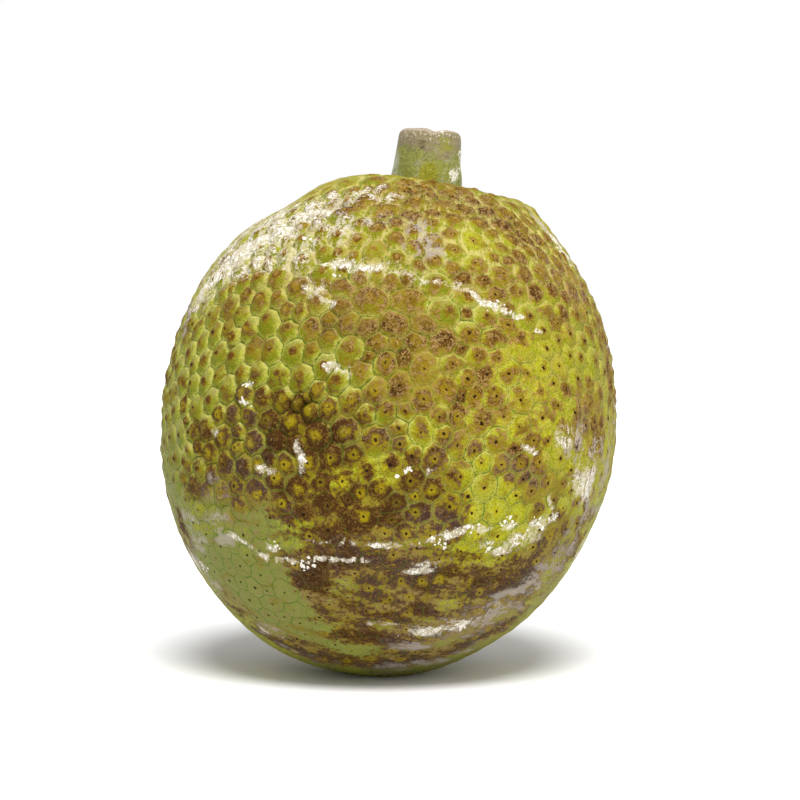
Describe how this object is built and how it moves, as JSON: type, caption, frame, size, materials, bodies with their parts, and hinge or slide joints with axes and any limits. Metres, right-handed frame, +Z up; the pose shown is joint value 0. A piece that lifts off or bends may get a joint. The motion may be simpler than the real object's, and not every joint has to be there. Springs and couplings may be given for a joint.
{
  "type": "breadfruit",
  "caption": "Whole breadfruit with a knobbly green and russet rind and the cut stub of its stalk, standing on a small flat spot.",
  "frame": {"origin": "middle of the small flat spot that the fruit rests on", "axes": "+Z up towards the stalk, +X to the right and -Y towards the viewer; the fruit's own axis leans 11 degrees towards +X and 3 degrees towards +Y"},
  "size_m": [0.1308, 0.1303, 0.1565],
  "materials": {
    "rind": "satin",
    "stalk_bark": "matte",
    "dried_latex": "matte"
  },
  "bodies": {
    "root": {"fruit": "rind", "stalk": "stalk_bark"}
  },
  "joints": []
}
